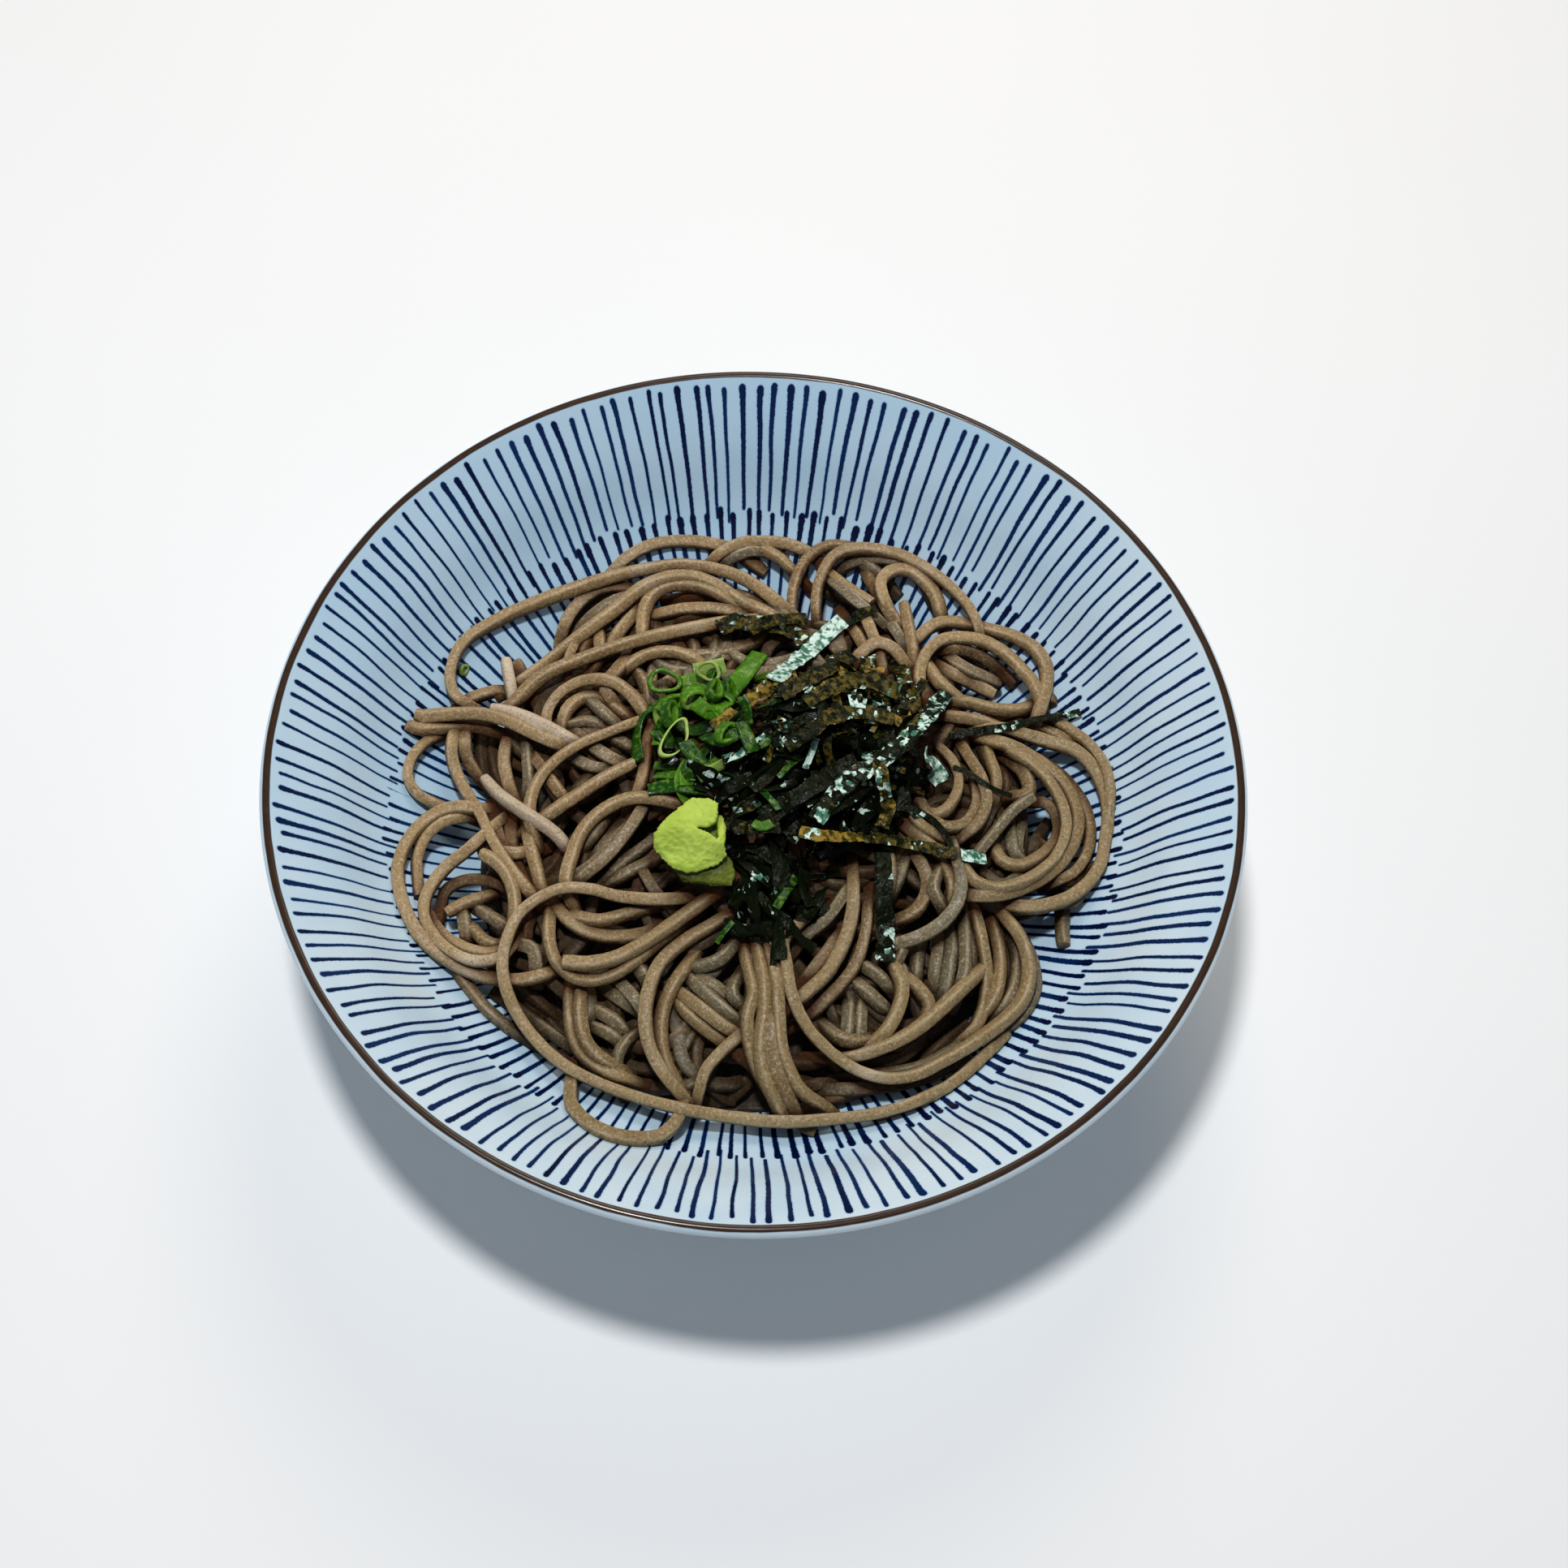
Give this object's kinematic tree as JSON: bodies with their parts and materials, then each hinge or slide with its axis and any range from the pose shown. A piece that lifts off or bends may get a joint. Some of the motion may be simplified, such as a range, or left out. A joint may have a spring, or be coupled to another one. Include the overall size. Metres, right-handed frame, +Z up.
{
  "type": "zaru soba in a porcelain bowl",
  "caption": "Chilled buckwheat noodles heaped in a wide striped porcelain bowl, topped with shredded nori, sliced spring onion and wasabi.",
  "frame": {"origin": "middle of the foot ring, on the table that the bowl stands on", "axes": "+Z up through the middle of the bowl; -Y towards the person eating, +X to their right"},
  "size_m": [0.213, 0.213, 0.0521],
  "materials": {
    "porcelain": "glossy blue-white glaze with indigo stripes and a brown lip",
    "soba": "damp, slightly speckled brown-grey",
    "nori": "blackish green with a crinkled satin sheen",
    "spring_onion": "damp green",
    "wasabi": "matte yellow-green paste"
  },
  "bodies": {
    "root": {"bowl": "porcelain", "noodles": "soba", "nori": "nori", "spring_onion": "spring_onion", "wasabi": "wasabi"}
  },
  "joints": []
}
